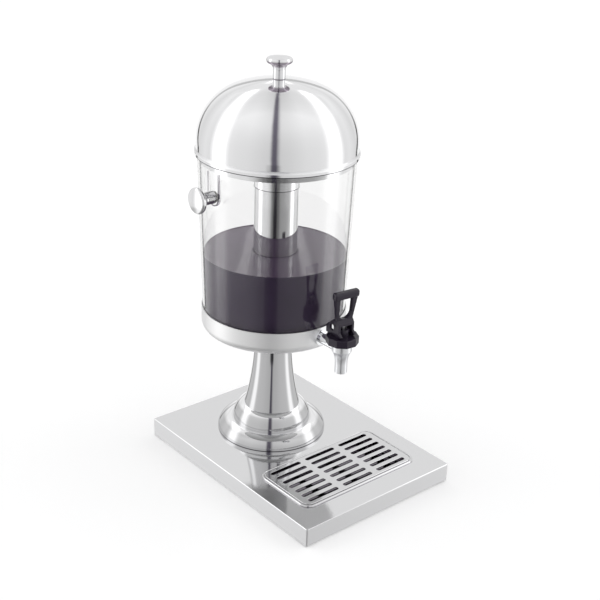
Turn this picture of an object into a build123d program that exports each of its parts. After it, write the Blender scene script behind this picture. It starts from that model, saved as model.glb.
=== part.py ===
"""Juice dispenser: a clear tank on a pedestal, with a lever tap, an ice tube, a domed lid and a drip tray.

Millimetres, +Z up. The origin is the middle of the base on the ground, and the tap points along -Y.
"""

import os
from math import atan2, cos, degrees, radians, sin, sqrt, tan

from build123d import *

os.makedirs("parts", exist_ok=True)

# Base: a folded steel box, open below, with a lip turned inward along the bottom.
base_width = 260.0
base_depth = 353.2
base_wall_height = 25.7
base_sheet = 1.2
base_bend_radius = 0.8
base_edge_round = 0.8
base_lip = 22.0

# Push-in rubber feet, one in each corner of the lip.
foot_gap = 2.0
foot_radius = 9.0
foot_neck_radius = 4.0
foot_head_radius = 6.0
foot_head_height = 3.0
foot_inset = 12.0

# Where the tank's axis stands behind the middle of the base.
tank_setback = 59.7

# Drip tray and its slotted grille.
tray_length = 204.0
tray_width = 106.0
tray_corner = 16.0
tray_rim = 6.5
tray_sheet = 1.0
tray_depth = 17.0
tray_floor_round = 4.0
tray_front_margin = 33.6
tray_clearance = 0.5
rim_bead_inset = 0.7
rim_bead_width = 2.8
rim_bead_height = 1.2
rim_bead_round = 1.1
grille_ledge = 2.0
grille_plate = 1.5
grille_edge_round = 0.7
grille_lip_drop = 4.0
grille_lip_sheet = 1.0
grille_clearance = 0.5
slot_rows = 7
slot_columns = 3
slot_bar = 10.2
slot_land = 6.8
slot_end_margin = 9.4
slot_side_margin = 5.5
slot_edge_round = 0.4

# Pedestal: a two-step pressing and a trumpet-shaped tube.
pedestal_sheet = 1.2
ring_wall_height = 1.5
lower_step_width = 22.5
lower_step_rise = 15.6
upper_step_width = 16.0
upper_step_rise = 23.4
stem_base_radius = 40.0
stem_neck_radius = 26.5
stem_neck_length = 16.5
stem_height = 123.3
plug_height = 9.0
plug_clearance = 0.1

# Tie rod that clamps the base, the pedestal, the cup and the tank together.
rod_radius = 4.0
rod_clearance = 0.2
rod_tail = 2.5
rod_engagement = 5.0
nut_across_flats = 13.0
nut_height = 6.5
washer_radius = 12.0
washer_thickness = 1.6
backing_radius = 56.0
backing_thickness = 3.0

# Steel cup and clear tank.
cup_radius = 102.2
cup_sheet = 1.2
cup_height = 33.5
cup_round = 12.0
cup_clearance = 0.5
tank_rim_radius = 107.5
tank_wall = 3.5
tank_floor = 4.0
tank_height = 254.8
tank_rim_round = 1.0
pad_half_width = 11.5
pad_drop = 43.0
pad_proud = 0.4
seal_thickness = 2.0

# Mushroom knob, used on the lid and on the tank's pad.
knob_neck_radius = 8.4
knob_neck_length = 11.6
knob_flare_radius = 14.4
knob_radius = 17.6
knob_rim_z = 24.8
knob_shoulder = 3.2
knob_crown_slope = 10.0
side_knob_drop = 44.0
screw_radius = 2.5
screw_clearance = 0.2
screw_grip = 10.0
screw_head_radius = 4.6
screw_head_height = 3.0
knob_washer_radius = 7.5
knob_washer_thickness = 1.0

# Ice tube with its seat and cap.
tube_radius = 30.2
tube_sheet = 1.0
tube_height = 210.0
seat_floor = 7.0
seat_socket_depth = 8.0
seat_wall = 4.0
tube_clearance = 0.4
cap_clearance = 0.35
cap_sheet = 0.9
cap_drop = 16.0

# Lid: a two-arc dome with a flared bead, and a ring that goes down inside the tank's rim.
lid_sheet = 1.2
lid_overhang = 1.5
lid_wall_height = 14.5
dome_knuckle = 78.0
dome_crown = 176.6
lid_drop = 2.3
bead_band = 4.6
bead_root = 3.5
bead_proud = 2.0
bead_round = 0.8
skirt_sheet = 1.2
skirt_depth = 10.4
skirt_clearance = 1.1
skirt_fit = 0.1

# Tap body and bonnet. The bonnet is screwed home a little past square, and turns the lever with it.
tap_turn = -6.5
tap_rise = 20.1
tap_reach = 42.5
shank_radius = 8.0
shank_bore = 5.0
shank_clearance = 0.3
shank_tail = 12.0
flange_radius = 11.2
flange_thickness = 3.5
shank_nut_across_flats = 22.0
shank_nut_height = 7.0
shank_nut_gap = 0.1
shank_seal_radius = 12.0
spout_drop = 35.3
spout_radius = 8.5
spout_bore = 6.0
spout_edge_round = 0.6
flare_drop = 20.6
flare_height = 18.0
barrel_radius = 13.6
barrel_rise = 7.9
barrel_shoulder = 1.5
thread_radius = 16.0
thread_length = 6.5
thread_clearance = 0.1
chamber_radius = 7.7
chamber_drop = 5.6
collar_radius = 22.1
collar_sides = 10
collar_height = 10.4
collar_edge_round = 0.8
tower_radius = 8.7
tower_height = 10.0
tower_bore = 6.8
tower_roof = 2.5

# Plunger, stopper and spring inside the tap.
plunger_radius = 3.0
plunger_clearance = 0.05
plunger_eye_radius = 4.0
plunger_eye_half_width = 8.4
stopper_radius = 6.9
stopper_height = 11.0
stopper_gap = 0.05
spring_inner_radius = 4.0
spring_outer_radius = 6.0
spring_end_gap = 0.05

# Lever: a stirrup with a grip bar over two windowed cheeks that straddle the tower.
pin_rise = 16.4
pin_radius = 1.5
pin_clearance = 0.05
lever_gap = 0.3
lever_lean = 5.0
cam_offset = 4.0
cam_sweep = 36.0
cheek_gap = 0.5
cheek_thickness = 3.4
cheek_rear_reach = 20.5
cheek_rear_height = 10.1
cheek_back_inset = 2.0
cheek_back_height = 12.6
cheek_front_reach = 8.0
cheek_notch_height = 7.6
cheek_front_height = 19.1
cheek_top_rise = 8.0
cheek_top_half_width = 4.2
cheek_edge_round = 0.5
window_front = 3.8
window_length = 8.0
window_floor = 6.9
window_height = 8.2
window_corner = 2.0
wall_thickness = 3.0
web_gap = 0.8
loop_half_width = 9.8
loop_floor = 8.6
stirrup_rise = 43.5
stirrup_depth = 6.4
stirrup_top_half_width = 17.8
stirrup_edge_round = 0.8
grip_length = 38.4
grip_depth = 9.6
grip_height = 10.8
grip_corner = 3.4
grip_end_round = 2.5

# Levels and places that follow from the sizes above.
base_top = foot_gap + base_wall_height
tray_y = -base_depth / 2 + tray_front_margin + tray_width / 2
step_radius = stem_base_radius + upper_step_width
ring_radius = step_radius + lower_step_width
ring_top = base_top + ring_wall_height
step_top = ring_top + lower_step_rise
foot_top = step_top + upper_step_rise
stem_top = foot_top + stem_height
cup_floor = stem_top + cup_sheet
cup_top = stem_top + cup_height
cup_inner = cup_radius - cup_sheet
tank_base_radius = cup_inner - cup_clearance
tank_round = cup_round - cup_sheet
tank_inside = cup_floor + tank_floor
rim_z = cup_floor + tank_height
rim_inner = tank_rim_radius - tank_wall
seal_top = tank_inside + seal_thickness
seat_radius = tube_radius + tube_clearance + seat_wall
socket_floor = seal_top + seat_floor
tube_top = socket_floor + tube_height
lid_radius = tank_rim_radius + lid_overhang
lid_inner = lid_radius - lid_sheet
lid_shoulder = rim_z + lid_wall_height
dome_gap = dome_crown - dome_knuckle
dome_reach = lid_radius - dome_knuckle
dome_drop = sqrt(dome_gap**2 - dome_reach**2)
crown_center = lid_shoulder - dome_drop
lid_apex = crown_center + dome_crown
tap_z = stem_top + tap_rise
tap_y = tank_setback - cup_radius - tap_reach
spout_tip = tap_z - spout_drop
barrel_top = tap_z + barrel_rise
collar_bottom = barrel_top + barrel_shoulder
thread_top = collar_bottom + thread_length
thread_bore = thread_radius + thread_clearance
collar_top = collar_bottom + collar_height
tower_top = collar_top + tower_height
tower_ceiling = tower_top - tower_roof
chamber_floor = tap_z - chamber_drop
pin_z = collar_top + pin_rise
knob_flare_share = (knob_flare_radius - knob_neck_radius) / (knob_radius - knob_neck_radius)
knob_flare_z = knob_neck_length + knob_flare_share * (knob_rim_z - knob_neck_length)
knob_crown_edge = knob_radius - knob_shoulder * (1 - sin(radians(knob_crown_slope)))
knob_crown_z = knob_rim_z + knob_shoulder * cos(radians(knob_crown_slope))
knob_height = knob_crown_z + knob_crown_edge * tan(radians(knob_crown_slope / 2))
lid_bottom = rim_z - lid_drop
bead_radius = lid_radius + bead_proud
bead_shelf = lid_bottom + bead_band

tank_axis = Axis((0, tank_setback, 0), (0, 0, 1))
tap_axis = Axis((0, tap_y, 0), (0, 0, 1))
tap_across = Vector(cos(radians(tap_turn)), sin(radians(tap_turn)), 0)
tap_along = Vector(-sin(radians(tap_turn)), cos(radians(tap_turn)), 0)
tank_section = Plane(origin=(0, tank_setback, 0), x_dir=(1, 0, 0), z_dir=(0, -1, 0))
tap_section = Plane(origin=(0, tap_y, 0), x_dir=(1, 0, 0), z_dir=(0, -1, 0))


def tank_plane(z):
    """Level plane centred on the tank's axis."""
    return Plane(origin=(0, tank_setback, z), x_dir=(1, 0, 0), z_dir=(0, 0, 1))


def tap_plane(z):
    """Level plane centred on the tap's axis and turned with the bonnet."""
    return Plane(origin=(0, tap_y, z), x_dir=tap_across, z_dir=(0, 0, 1))


def tray_plane(z):
    """Level plane centred on the drip tray."""
    return Plane(origin=(0, tray_y, z), x_dir=(1, 0, 0), z_dir=(0, 0, 1))


# The pan hangs in the base, and the grille covers the pan and a narrow ledge of the rim.
pan_length = tray_length - 2 * tray_rim
pan_width = tray_width - 2 * tray_rim
pan_corner = tray_corner - tray_rim
rim_top = base_top + tray_sheet
grille_length = pan_length + 2 * grille_ledge
grille_width = pan_width + 2 * grille_ledge
grille_corner = pan_corner + grille_ledge
grille_top = rim_top + grille_plate

foot_x = base_width / 2 - foot_inset
foot_y = base_depth / 2 - foot_inset
foot_places = [(-foot_x, -foot_y), (foot_x, -foot_y), (-foot_x, foot_y), (foot_x, foot_y)]

# Base cover: outer box, hollowed between the top and the bottom lip.
with BuildPart() as base_cover:
    base_outer_bend = base_bend_radius + base_sheet
    with BuildSketch(Plane.XY.offset(foot_gap)):
        RectangleRounded(base_width, base_depth, base_outer_bend)
    extrude(amount=base_wall_height)
    fillet(base_cover.faces().sort_by(Axis.Z)[-1].edges(), base_edge_round)
    with BuildSketch(Plane.XY.offset(foot_gap + base_sheet)):
        RectangleRounded(base_width - 2 * base_sheet, base_depth - 2 * base_sheet, base_bend_radius)
    extrude(amount=base_wall_height - 2 * base_sheet, mode=Mode.SUBTRACT)
    with BuildSketch(Plane.XY.offset(foot_gap)):
        Rectangle(base_width - 2 * base_lip, base_depth - 2 * base_lip)
    extrude(amount=base_sheet, mode=Mode.SUBTRACT)
    with BuildSketch(Plane.XY.offset(foot_gap)):
        with Locations(*foot_places):
            Circle(foot_neck_radius)
    extrude(amount=base_sheet, mode=Mode.SUBTRACT)
    cutout_corner = pan_corner + tray_clearance
    with BuildSketch(tray_plane(base_top - base_sheet)):
        RectangleRounded(pan_length + 2 * tray_clearance, pan_width + 2 * tray_clearance, cutout_corner)
    extrude(amount=base_sheet, mode=Mode.SUBTRACT)
    with BuildSketch(tank_plane(base_top - base_sheet)):
        Circle(rod_radius + rod_clearance)
    extrude(amount=base_sheet, mode=Mode.SUBTRACT)
base_cover.part.label = "base_cover"
export_step(base_cover.part, "parts/base_cover.step")

# Rubber feet: a pad below the lip, a neck through it and a head above it.
with BuildPart() as rubber_feet:
    with BuildSketch(Plane.XY):
        with Locations(*foot_places):
            Circle(foot_radius)
    extrude(amount=foot_gap)
    with BuildSketch(Plane.XY.offset(foot_gap)):
        with Locations(*foot_places):
            Circle(foot_neck_radius)
    extrude(amount=base_sheet)
    with BuildSketch(Plane.XY.offset(foot_gap + base_sheet)):
        with Locations(*foot_places):
            Circle(foot_head_radius)
    extrude(amount=foot_head_height)
rubber_feet.part.label = "rubber_feet"
export_step(rubber_feet.part, "parts/rubber_feet.step")

# Backing plate: spreads the rod's pull under the base top.
backing_top = base_top - base_sheet
with BuildPart() as backing_plate:
    with BuildSketch(tank_plane(backing_top - backing_thickness)):
        Circle(backing_radius)
        Circle(rod_radius + rod_clearance, mode=Mode.SUBTRACT)
    extrude(amount=backing_thickness)
backing_plate.part.label = "backing_plate"
export_step(backing_plate.part, "parts/backing_plate.step")

# Drip tray: rim with a stiffening bead on the base top, pan with a rounded floor edge below.
with BuildPart() as pan_hollow:
    with BuildSketch(tray_plane(rim_top - tray_depth + tray_sheet)):
        RectangleRounded(pan_length - 2 * tray_sheet, pan_width - 2 * tray_sheet, pan_corner - tray_sheet)
    extrude(amount=tray_depth)
    fillet(pan_hollow.faces().sort_by(Axis.Z)[0].edges(), tray_floor_round - tray_sheet)

with BuildPart() as drip_tray:
    with BuildSketch(tray_plane(rim_top - tray_depth)):
        RectangleRounded(pan_length, pan_width, pan_corner)
    extrude(amount=tray_depth)
    fillet(drip_tray.faces().sort_by(Axis.Z)[0].edges(), tray_floor_round)
    with BuildSketch(tray_plane(base_top)):
        RectangleRounded(tray_length, tray_width, tray_corner)
    extrude(amount=tray_sheet)
    add(pan_hollow.part, mode=Mode.SUBTRACT)
    bead_outer = rim_bead_inset
    bead_inner = rim_bead_inset + rim_bead_width
    with BuildSketch(tray_plane(rim_top)):
        RectangleRounded(tray_length - 2 * bead_outer, tray_width - 2 * bead_outer, tray_corner - bead_outer)
        RectangleRounded(
            tray_length - 2 * bead_inner,
            tray_width - 2 * bead_inner,
            tray_corner - bead_inner,
            mode=Mode.SUBTRACT,
        )
    extrude(amount=rim_bead_height)
    fillet(drip_tray.faces().sort_by(Axis.Z)[-1].edges(), rim_bead_round)
drip_tray.part.label = "drip_tray"
export_step(drip_tray.part, "parts/drip_tray.step")

# Drip grille: slotted plate on the rim, with a locating lip that drops into the pan.
with BuildPart() as drip_grille:
    with BuildSketch(tray_plane(rim_top)):
        RectangleRounded(grille_length, grille_width, grille_corner)
    extrude(amount=grille_plate)
    fillet(drip_grille.faces().sort_by(Axis.Z)[-1].edges(), grille_edge_round)
    lip_length = pan_length - 2 * tray_sheet - 2 * grille_clearance
    lip_width = pan_width - 2 * tray_sheet - 2 * grille_clearance
    lip_corner = pan_corner - tray_sheet - grille_clearance
    with BuildSketch(tray_plane(rim_top - grille_lip_drop)):
        RectangleRounded(lip_length, lip_width, lip_corner)
        RectangleRounded(
            lip_length - 2 * grille_lip_sheet,
            lip_width - 2 * grille_lip_sheet,
            lip_corner - grille_lip_sheet,
            mode=Mode.SUBTRACT,
        )
    extrude(amount=grille_lip_drop)
    slot_field_length = grille_length - 2 * slot_end_margin
    slot_field_width = grille_width - 2 * slot_side_margin
    slot_length = (slot_field_length - (slot_columns - 1) * slot_bar) / slot_columns
    slot_width = (slot_field_width - (slot_rows - 1) * slot_land) / slot_rows
    with BuildSketch(tray_plane(rim_top)):
        with GridLocations(slot_length + slot_bar, slot_width + slot_land, slot_columns, slot_rows):
            SlotOverall(slot_length, slot_width)
    extrude(amount=grille_plate, mode=Mode.SUBTRACT)
    fillet([w.edges() for w in drip_grille.faces().sort_by(Axis.Z)[-1].inner_wires()], slot_edge_round)
drip_grille.part.label = "drip_grille"
export_step(drip_grille.part, "parts/drip_grille.step")

# Pedestal foot: two convex steps under a flat top, pressed from sheet.
with BuildPart() as pedestal_foot:
    with BuildSketch(tank_section):
        with BuildLine():
            foot_bottom = Line((ring_radius - pedestal_sheet, base_top), (ring_radius, base_top))
            ring_wall = Line(foot_bottom @ 1, (ring_radius, ring_top))
            lower_step = EllipticalCenterArc(
                (step_radius, ring_top), lower_step_width, lower_step_rise, 0, arc_size=90
            )
            upper_step = EllipticalCenterArc(
                (stem_base_radius, step_top), upper_step_width, upper_step_rise, 0, arc_size=90
            )
            foot_deck = Line(upper_step @ 1, (rod_radius + rod_clearance, foot_top))
            deck_hole = Line(foot_deck @ 1, (rod_radius + rod_clearance, foot_top - pedestal_sheet))
            deck_under = Line(deck_hole @ 1, (stem_base_radius, foot_top - pedestal_sheet))
            upper_under = EllipticalCenterArc(
                (stem_base_radius, step_top),
                upper_step_width - pedestal_sheet,
                upper_step_rise - pedestal_sheet,
                0,
                arc_size=90,
            )
            step_under = Polyline(
                upper_under @ 0,
                (step_radius - pedestal_sheet, step_top - pedestal_sheet),
                (step_radius, step_top - pedestal_sheet),
            )
            lower_under = EllipticalCenterArc(
                (step_radius, ring_top),
                lower_step_width - pedestal_sheet,
                lower_step_rise - pedestal_sheet,
                0,
                arc_size=90,
            )
            ring_under = Line(lower_under @ 0, foot_bottom @ 0)
        make_face()
    revolve(axis=tank_axis)
pedestal_foot.part.label = "pedestal_foot"
export_step(pedestal_foot.part, "parts/pedestal_foot.step")

# Pedestal stem: trumpet-shaped tube from the foot to the cup.
stem_arc_top = stem_top - stem_neck_length
with BuildPart() as pedestal_stem:
    with BuildSketch(tank_section):
        with BuildLine():
            stem_neck = Line((stem_neck_radius, stem_top), (stem_neck_radius, stem_arc_top))
            stem_flare = TangentArc(stem_neck @ 1, (stem_base_radius, foot_top), tangent=(0, -1))
            stem_edge = Line(stem_flare @ 1, (stem_base_radius - pedestal_sheet, foot_top))
            stem_flare_in = TangentArc(
                (stem_neck_radius - pedestal_sheet, stem_arc_top), stem_edge @ 1, tangent=(0, -1)
            )
            stem_neck_in = Line(stem_flare_in @ 0, (stem_neck_radius - pedestal_sheet, stem_top))
            stem_rim = Line(stem_neck_in @ 1, stem_neck @ 0)
        make_face()
    revolve(axis=tank_axis)
pedestal_stem.part.label = "pedestal_stem"
export_step(pedestal_stem.part, "parts/pedestal_stem.step")

# Stem plug: turned disc that closes the stem under the cup.
with BuildPart() as stem_plug:
    with BuildSketch(tank_plane(stem_top - plug_height)):
        Circle(stem_neck_radius - pedestal_sheet - plug_clearance)
        Circle(rod_radius + rod_clearance, mode=Mode.SUBTRACT)
    extrude(amount=plug_height)
stem_plug.part.label = "stem_plug"
export_step(stem_plug.part, "parts/stem_plug.step")

# Tie rod, washer and nut.
washer_top = backing_top - backing_thickness
nut_top = washer_top - washer_thickness
rod_bottom = nut_top - nut_height - rod_tail
rod_top = seal_top + rod_engagement
with BuildPart() as tie_rod:
    with BuildSketch(tank_plane(rod_bottom)):
        Circle(rod_radius)
    extrude(amount=rod_top - rod_bottom)
tie_rod.part.label = "tie_rod"
export_step(tie_rod.part, "parts/tie_rod.step")

with BuildPart() as tie_washer:
    with BuildSketch(tank_plane(nut_top)):
        Circle(washer_radius)
        Circle(rod_radius + rod_clearance, mode=Mode.SUBTRACT)
    extrude(amount=washer_thickness)
tie_washer.part.label = "tie_washer"
export_step(tie_washer.part, "parts/tie_washer.step")

with BuildPart() as tie_nut:
    with BuildSketch(tank_plane(nut_top - nut_height)):
        RegularPolygon(nut_across_flats / 2, 6, major_radius=False)
        Circle(rod_radius, mode=Mode.SUBTRACT)
    extrude(amount=nut_height)
tie_nut.part.label = "tie_nut"
export_step(tie_nut.part, "parts/tie_nut.step")

# Tank cup: shallow steel cup on the stem, with holes for the rod and the tap's shank.
tap_bore_plane = Plane(origin=(0, tank_setback, tap_z), x_dir=(1, 0, 0), z_dir=(0, -1, 0))
with BuildPart() as cup_hollow:
    with BuildSketch(tank_plane(cup_floor)):
        Circle(cup_inner)
    extrude(amount=cup_height)
    fillet(cup_hollow.faces().sort_by(Axis.Z)[0].edges(), cup_round - cup_sheet)

with BuildPart() as tank_cup:
    with BuildSketch(tank_plane(stem_top)):
        Circle(cup_radius)
    extrude(amount=cup_height)
    fillet(tank_cup.faces().sort_by(Axis.Z)[0].edges(), cup_round)
    add(cup_hollow.part, mode=Mode.SUBTRACT)
    with BuildSketch(tank_plane(stem_top)):
        Circle(rod_radius + rod_clearance)
    extrude(amount=cup_sheet, mode=Mode.SUBTRACT)
    with BuildSketch(tap_bore_plane):
        Circle(shank_radius + shank_clearance)
    extrude(amount=cup_radius + cup_sheet, mode=Mode.SUBTRACT)
tank_cup.part.label = "tank_cup"
export_step(tank_cup.part, "parts/tank_cup.step")

# Inside of the tank, used to shape the pieces that seal against its wall.
with BuildPart() as tank_cavity:
    with BuildSketch(tank_section):
        with BuildLine():
            Polyline(
                (0, tank_inside),
                (tank_base_radius - tank_wall, tank_inside),
                (tank_base_radius - tank_wall, cup_top),
                (rim_inner, rim_z),
                (0, rim_z),
                close=True,
            )
        make_face()
    revolve(axis=tank_axis)
    fillet(tank_cavity.edges().group_by(Axis.Z)[0], tank_round - tank_wall)

# Clear tank: straight inside the cup, then opening out to the rim, with a raised pad for the side knob.
side_knob_z = rim_z - side_knob_drop
pad_center_z = rim_z - pad_drop
pad_slope = (tank_rim_radius - tank_base_radius) / (rim_z - cup_top)
pad_face = tank_base_radius + pad_slope * (side_knob_z - cup_top) + pad_proud
pad_root = tank_base_radius - tank_wall
side_section = Plane(origin=(-pad_root, tank_setback, 0), x_dir=(0, -1, 0), z_dir=(-1, 0, 0))
side_bore_plane = Plane(origin=(0, tank_setback, side_knob_z), x_dir=(0, -1, 0), z_dir=(-1, 0, 0))
with BuildPart() as clear_tank:
    with BuildSketch(tank_section):
        with BuildLine():
            Polyline(
                (0, cup_floor),
                (tank_base_radius, cup_floor),
                (tank_base_radius, cup_top),
                (tank_rim_radius, rim_z),
                (0, rim_z),
                close=True,
            )
        make_face()
    revolve(axis=tank_axis)
    fillet(clear_tank.edges().group_by(Axis.Z)[0], tank_round)
    fillet(clear_tank.edges().group_by(Axis.Z)[-1], tank_rim_round)
    with BuildSketch(side_section):
        with Locations((0, pad_center_z)):
            Circle(pad_half_width)
        with Locations((0, (pad_center_z + rim_z - tank_rim_round) / 2)):
            Rectangle(2 * pad_half_width, rim_z - tank_rim_round - pad_center_z)
    extrude(amount=pad_face - pad_root)
    add(tank_cavity.part, mode=Mode.SUBTRACT)
    with BuildSketch(tank_plane(cup_floor)):
        Circle(rod_radius + rod_clearance)
    extrude(amount=tank_floor, mode=Mode.SUBTRACT)
    with BuildSketch(tap_bore_plane):
        Circle(shank_radius + shank_clearance)
    extrude(amount=cup_radius, mode=Mode.SUBTRACT)
    with BuildSketch(side_bore_plane):
        Circle(screw_radius + screw_clearance)
    extrude(amount=pad_face + pad_proud, mode=Mode.SUBTRACT)
clear_tank.part.label = "clear_tank"
export_step(clear_tank.part, "parts/clear_tank.step")

# Floor seal and tube seat: the seat screws onto the rod and clamps the seal to the tank's floor.
with BuildPart() as floor_seal:
    with BuildSketch(tank_plane(tank_inside)):
        Circle(seat_radius)
        Circle(rod_radius + rod_clearance, mode=Mode.SUBTRACT)
    extrude(amount=seal_thickness)
floor_seal.part.label = "floor_seal"
export_step(floor_seal.part, "parts/floor_seal.step")

with BuildPart() as tube_seat:
    with BuildSketch(tank_plane(seal_top)):
        Circle(seat_radius)
    extrude(amount=seat_floor + seat_socket_depth)
    with BuildSketch(tank_plane(socket_floor)):
        Circle(tube_radius + tube_clearance)
    extrude(amount=seat_socket_depth, mode=Mode.SUBTRACT)
    with BuildSketch(tank_plane(seal_top)):
        Circle(rod_radius)
    extrude(amount=rod_engagement, mode=Mode.SUBTRACT)
tube_seat.part.label = "tube_seat"
export_step(tube_seat.part, "parts/tube_seat.step")

# Ice tube: closed below, open above. Its cap is a shallow cup turned over the tube's end.
with BuildPart() as ice_tube:
    with BuildSketch(tank_plane(socket_floor)):
        Circle(tube_radius)
    extrude(amount=tube_height)
    with BuildSketch(tank_plane(socket_floor + tube_sheet)):
        Circle(tube_radius - tube_sheet)
    extrude(amount=tube_height, mode=Mode.SUBTRACT)
ice_tube.part.label = "ice_tube"
export_step(ice_tube.part, "parts/ice_tube.step")

cap_inner = tube_radius + cap_clearance
with BuildPart() as ice_tube_cap:
    with BuildSketch(tank_plane(tube_top - cap_drop)):
        Circle(cap_inner + cap_sheet)
    extrude(amount=cap_drop + cap_sheet)
    fillet(ice_tube_cap.faces().sort_by(Axis.Z)[-1].edges(), cap_sheet)
    with BuildSketch(tank_plane(tube_top - cap_drop)):
        Circle(cap_inner)
    extrude(amount=cap_drop, mode=Mode.SUBTRACT)
ice_tube_cap.part.label = "ice_tube_cap"
export_step(ice_tube_cap.part, "parts/ice_tube_cap.step")

# Tap body: spout, barrel, threaded neck and shank in one casting, bored through.
shank_inner_y = tank_setback - (tank_base_radius - tank_wall) + shank_tail
with BuildPart() as tap_body:
    with BuildSketch(tap_section):
        with BuildLine():
            spout_edge = Line((0, spout_tip), (spout_radius, spout_tip))
            spout_side = Line(spout_edge @ 1, (spout_radius, tap_z - flare_drop))
            spout_flare = TangentArc(
                spout_side @ 1, (barrel_radius, tap_z - flare_drop + flare_height), tangent=(0, 1)
            )
            neck_side = Polyline(
                spout_flare @ 1,
                (barrel_radius, barrel_top),
                (thread_radius, collar_bottom),
                (thread_radius, thread_top),
                (0, thread_top),
                spout_edge @ 0,
            )
        make_face()
    revolve(axis=tap_axis)
    shank_plane = Plane(origin=(0, tap_y, tap_z), x_dir=(-1, 0, 0), z_dir=(0, 1, 0))
    with BuildSketch(shank_plane):
        Circle(shank_radius)
    extrude(amount=shank_inner_y - tap_y)
    with BuildSketch(shank_plane):
        Circle(shank_bore)
    extrude(amount=shank_inner_y - tap_y, mode=Mode.SUBTRACT)
    with BuildSketch(tap_plane(chamber_floor)):
        Circle(chamber_radius)
    extrude(amount=thread_top - chamber_floor, mode=Mode.SUBTRACT)
    with BuildSketch(tap_plane(spout_tip)):
        Circle(spout_bore)
    extrude(amount=chamber_floor - spout_tip, mode=Mode.SUBTRACT)
    fillet(tap_body.faces().sort_by(Axis.Z)[0].edges(), spout_edge_round)
tap_body.part.label = "tap_body"
export_step(tap_body.part, "parts/tap_body.step")

# Tap flange: ring on the shank, hollowed at the back to sit on the round cup.
with BuildPart() as tap_flange:
    with BuildSketch(tap_bore_plane):
        Circle(flange_radius)
        Circle(shank_radius, mode=Mode.SUBTRACT)
    extrude(amount=cup_radius + flange_thickness)
    with BuildSketch(tank_plane(stem_top)):
        Circle(cup_radius)
    extrude(amount=cup_height, mode=Mode.SUBTRACT)
tap_flange.part.label = "tap_flange"
export_step(tap_flange.part, "parts/tap_flange.step")

# Shank seal and nut inside the tank: the seal is shaped to the round wall, the nut bears on its flat.
shank_flat = tank_base_radius - tank_wall - seal_thickness
shank_flat_plane = Plane(origin=(0, tank_setback - shank_flat, tap_z), x_dir=(1, 0, 0), z_dir=(0, -1, 0))
with BuildPart() as shank_seal:
    with BuildSketch(shank_flat_plane):
        Circle(shank_seal_radius)
        Circle(shank_radius, mode=Mode.SUBTRACT)
    extrude(amount=2 * seal_thickness)
    add(tank_cavity.part, mode=Mode.INTERSECT)
shank_seal.part.label = "shank_seal"
export_step(shank_seal.part, "parts/shank_seal.step")

with BuildPart() as shank_nut:
    with BuildSketch(shank_flat_plane):
        RegularPolygon(shank_nut_across_flats / 2, 6, major_radius=False)
        Circle(shank_radius + shank_nut_gap, mode=Mode.SUBTRACT)
    extrude(amount=-shank_nut_height)
shank_nut.part.label = "shank_nut"
export_step(shank_nut.part, "parts/shank_nut.step")

# Tap bonnet: faceted collar screwed over the neck, with a round tower that guides the plunger.
with BuildPart() as tap_bonnet:
    with BuildSketch(tap_plane(collar_bottom)):
        RegularPolygon(collar_radius, collar_sides)
    extrude(amount=collar_height)
    fillet(tap_bonnet.faces().sort_by(Axis.Z)[-1].edges(), collar_edge_round)
    with BuildSketch(tap_plane(collar_top)):
        Circle(tower_radius)
    extrude(amount=tower_height)
    with BuildSketch(tap_plane(collar_bottom)):
        Circle(thread_bore)
    extrude(amount=thread_length, mode=Mode.SUBTRACT)
    with BuildSketch(tap_plane(thread_top)):
        Circle(tower_bore)
    extrude(amount=tower_ceiling - thread_top, mode=Mode.SUBTRACT)
    with BuildSketch(tap_plane(tower_ceiling)):
        Circle(plunger_radius + plunger_clearance)
    extrude(amount=tower_roof, mode=Mode.SUBTRACT)
tap_bonnet.part.label = "tap_bonnet"
export_step(tap_bonnet.part, "parts/tap_bonnet.step")

# Plunger: rod with a cross eye for the lever's pin.
stopper_bottom = chamber_floor + stopper_gap
stopper_top = stopper_bottom + stopper_height
plunger_foot = stopper_bottom + stopper_height / 2
eye_plane = Plane(origin=(0, tap_y, pin_z), x_dir=tap_along, z_dir=tap_across)
with BuildPart() as tap_plunger:
    with BuildSketch(tap_plane(plunger_foot)):
        Circle(plunger_radius)
    extrude(amount=pin_z - plunger_foot)
    with BuildSketch(eye_plane):
        Circle(plunger_eye_radius)
    extrude(amount=plunger_eye_half_width, both=True)
    with BuildSketch(eye_plane):
        Circle(pin_radius + pin_clearance)
    extrude(amount=plunger_eye_half_width, both=True, mode=Mode.SUBTRACT)
tap_plunger.part.label = "tap_plunger"
export_step(tap_plunger.part, "parts/tap_plunger.step")

# Seat cup: rubber stopper pushed onto the plunger's lower end.
with BuildPart() as seat_cup:
    with BuildSketch(tap_plane(stopper_bottom)):
        Circle(stopper_radius)
    extrude(amount=stopper_height)
    with BuildSketch(tap_plane(plunger_foot)):
        Circle(plunger_radius)
    extrude(amount=stopper_top - plunger_foot, mode=Mode.SUBTRACT)
seat_cup.part.label = "seat_cup"
export_step(seat_cup.part, "parts/seat_cup.step")

# Tap spring: plain sleeve in place of the hidden coil, between the stopper and the tower's roof.
with BuildPart() as tap_spring:
    with BuildSketch(tap_plane(stopper_top + spring_end_gap)):
        Circle(spring_outer_radius)
        Circle(spring_inner_radius, mode=Mode.SUBTRACT)
    extrude(amount=tower_ceiling - stopper_top - spring_end_gap)
tap_spring.part.label = "tap_spring"
export_step(tap_spring.part, "parts/tap_spring.step")

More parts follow.
